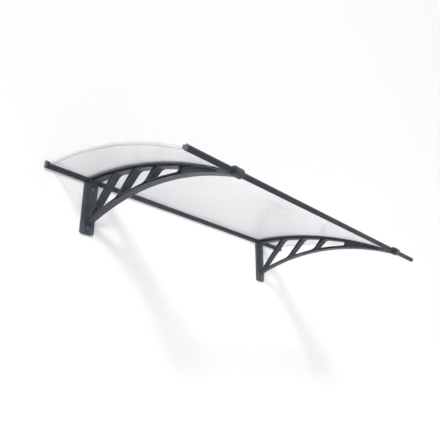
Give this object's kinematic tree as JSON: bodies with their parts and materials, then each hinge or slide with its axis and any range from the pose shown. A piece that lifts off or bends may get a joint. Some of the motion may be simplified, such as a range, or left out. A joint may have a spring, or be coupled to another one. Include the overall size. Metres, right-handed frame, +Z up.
{
  "type": "door awning",
  "caption": "Arched door awning: translucent twin-wall sheet on ribbed wall arms, with a rail along the wall and a rail along the front edge.",
  "frame": {"origin": "middle of the rear rail's back face, on the wall plane", "axes": "+X along the awning to the right as seen from the street, -Y out from the wall to the front rail, +Z up"},
  "size_m": [1.8302, 0.9487, 0.3255],
  "materials": {
    "sheet": "translucent milky twin-wall plastic sheet, smooth outside",
    "trim": "pale translucent extruded edge profile",
    "rail": "anthracite powder-coated aluminium extrusion",
    "moulding": "anthracite moulded plastic, fine satin",
    "cap": "grey moulded plastic caps and screw covers",
    "gasket": "black sealing strip",
    "steel": "plain steel screws"
  },
  "bodies": {
    "root": {"arm_gasket_left": "gasket", "arm_gasket_right": "gasket", "arm_left": "moulding", "arm_right": "moulding", "front_rail": "rail", "front_rail_cap_left": "cap", "front_rail_cap_right": "cap", "nose_clamp_left": "moulding", "nose_clamp_right": "moulding", "nose_nut_left": "steel", "nose_nut_right": "steel", "nose_screw_left": "steel", "nose_screw_right": "steel", "rail_clip_left": "moulding", "rail_clip_right": "moulding", "rear_rail": "rail", "rear_rail_cap_left": "cap", "rear_rail_cap_right": "cap", "roof_panel": "sheet", "screw_cover_clip_left": "cap", "screw_cover_clip_right": "cap", "screw_cover_lower_left": "cap", "screw_cover_lower_right": "cap", "screw_cover_upper_left": "cap", "screw_cover_upper_right": "cap", "side_trim_left": "trim", "side_trim_right": "trim", "wall_screw_clip_left": "steel", "wall_screw_clip_right": "steel", "wall_screw_lower_left": "steel", "wall_screw_lower_right": "steel", "wall_screw_upper_left": "steel", "wall_screw_upper_right": "steel"}
  },
  "joints": []
}
